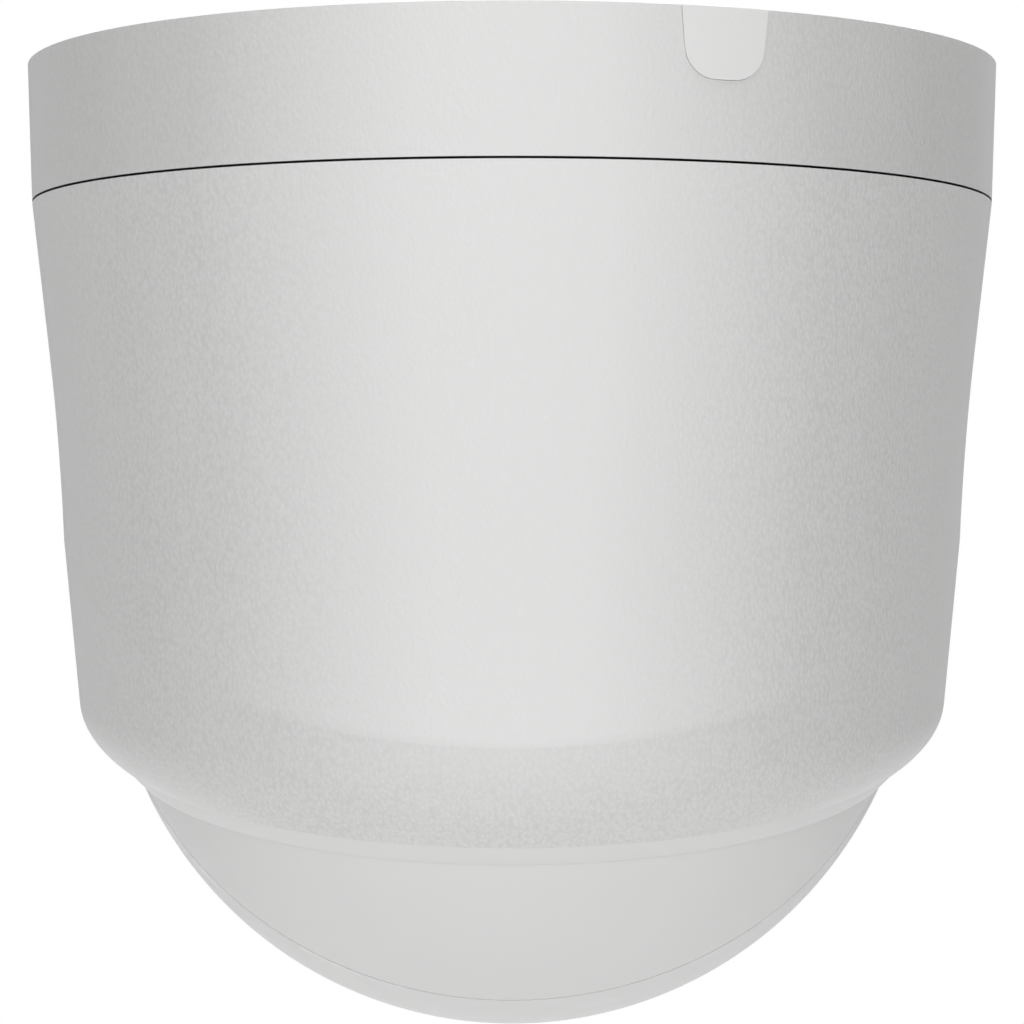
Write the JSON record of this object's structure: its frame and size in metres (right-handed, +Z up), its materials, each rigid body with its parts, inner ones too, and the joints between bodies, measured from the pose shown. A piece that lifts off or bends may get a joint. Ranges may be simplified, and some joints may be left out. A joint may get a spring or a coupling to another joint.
{
  "type": "ptz camera",
  "caption": "Pendant pan-tilt-zoom dome camera: fixed ceiling ring, turning housing with a clear dome strip, tilting zoom camera inside, gear drives and slip ring.",
  "frame": {"origin": "centre of the flat top mounting face", "axes": "+Z up, out of the mounting face and along the pan axis; +Y the way the lens looks at rest; +X completes the frame, along the tilt axis"},
  "size_m": [0.236, 0.236, 0.2326],
  "materials": {
    "white_grain": "moulded, fine leather grain",
    "white_smooth": "smooth satin",
    "black_plastic": "smooth matt",
    "clear_dome": "polished, clear",
    "lens_glass": "coated optical glass",
    "steel": "satin",
    "cast_aluminium": "as cast",
    "rubber": "matt",
    "gear_plastic": "acetal, as moulded",
    "brass": "turned",
    "circuit_board": "solder resist",
    "connector_green": "as moulded",
    "filter_glass": "coated"
  },
  "bodies": {
    "base": {"mounting_plate": "steel", "plate_screw_1": "steel", "plate_screw_2": "steel", "plate_screw_3": "steel", "base_gasket": "rubber", "base_cover": "white_grain", "base_chassis": "cast_aluminium", "connector_board": "circuit_board", "network_jack": "steel", "power_terminal": "connector_green", "pan_ring_gear": "gear_plastic", "pan_bearing_outer": "steel", "slip_ring_stator": "black_plastic"},
    "cable_plug": {"conduit_plug": "white_smooth"},
    "bearing_cage": {"pan_bearing_balls": "steel"},
    "pan_body": {"pan_bearing_inner": "steel", "slip_ring_rotor": "black_plastic", "turret_plate": "cast_aluminium", "pan_hub": "steel", "hub_nut": "brass", "housing_screw_1": "steel", "housing_screw_2": "steel", "housing_screw_3": "steel", "housing_screw_4": "steel", "housing_shell": "white_grain", "housing_bezel": "black_plastic", "trim_ring": "white_smooth", "dome_carrier": "black_plastic", "ball_rear_shell": "white_smooth", "ball_front_shell": "white_smooth", "dome_window": "clear_dome", "window_seal": "rubber", "pan_motor": "steel", "yoke_arm_left": "cast_aluminium", "yoke_arm_right": "cast_aluminium", "tilt_bearing_left": "steel", "tilt_bearing_right": "steel", "tilt_motor": "steel", "main_board": "circuit_board", "board_bracket": "cast_aluminium", "fan_frame": "black_plastic"},
    "pan_pinion_shaft": {"pan_pinion": "brass"},
    "tilt_pinion_shaft": {"tilt_pinion": "brass"},
    "fan_wheel": {"fan_rotor": "black_plastic"},
    "camera_head": {"camera_frame": "black_plastic", "trunnion_left": "steel", "trunnion_right": "steel", "tilt_gear": "gear_plastic", "lens_barrel": "black_plastic", "front_lens": "lens_glass", "lens_shroud": "black_plastic", "guide_rod_upper": "steel", "guide_rod_lower": "steel", "sensor_board": "circuit_board", "image_sensor": "lens_glass"},
    "zoom_group": {"zoom_lens_group": "lens_glass"},
    "focus_group": {"focus_lens_group": "lens_glass"},
    "ir_filter": {"ir_cut_filter": "filter_glass"}
  },
  "joints": [
    {"name": "pan", "type": "hinge", "parent": "base", "child": "pan_body", "pos_m": [0, 0, -0.038], "axis": [0, 0, 1], "continuous": true},
    {"name": "bearing_cage_spin", "type": "hinge", "parent": "base", "child": "bearing_cage", "pos_m": [0, 0, -0.038], "axis": [0, 0, 1], "continuous": true},
    {"name": "pan_pinion_spin", "type": "hinge", "parent": "pan_body", "child": "pan_pinion_shaft", "pos_m": [0, -0.045, -0.0387], "axis": [0, 0, 1], "continuous": true},
    {"name": "tilt", "type": "hinge", "parent": "pan_body", "child": "camera_head", "pos_m": [0, 0, -0.1341], "axis": [1, 0, 0], "range_deg": [-90, 20]},
    {"name": "tilt_pinion_spin", "type": "hinge", "parent": "pan_body", "child": "tilt_pinion_shaft", "pos_m": [0.0325, 0, -0.10285], "axis": [1, 0, 0], "range_deg": [-66, 288]},
    {"name": "fan_spin", "type": "hinge", "parent": "pan_body", "child": "fan_wheel", "pos_m": [-0.072, -0.052, -0.046], "axis": [0, 0, 1], "continuous": true},
    {"name": "zoom", "type": "slide", "parent": "camera_head", "child": "zoom_group", "axis": [0, 1, 0], "range_m": [-0.01, 0.026]},
    {"name": "focus", "type": "slide", "parent": "camera_head", "child": "focus_group", "axis": [0, 1, 0], "range_m": [-0.003, 0.003]},
    {"name": "ir_filter_shift", "type": "slide", "parent": "camera_head", "child": "ir_filter", "axis": [1, 0, 0], "range_m": [0, 0.013]},
    {"name": "cable_plug_lift", "type": "slide", "parent": "base", "child": "cable_plug", "axis": [0, 0, 1], "range_m": [0, 0.02]}
  ],
  "couplings": [
    {"joint": "pan_pinion_spin", "follows": "pan", "ratio": 5},
    {"joint": "bearing_cage_spin", "follows": "pan", "ratio": 0.4542},
    {"joint": "tilt_pinion_spin", "follows": "tilt", "ratio": -3.1667}
  ]
}
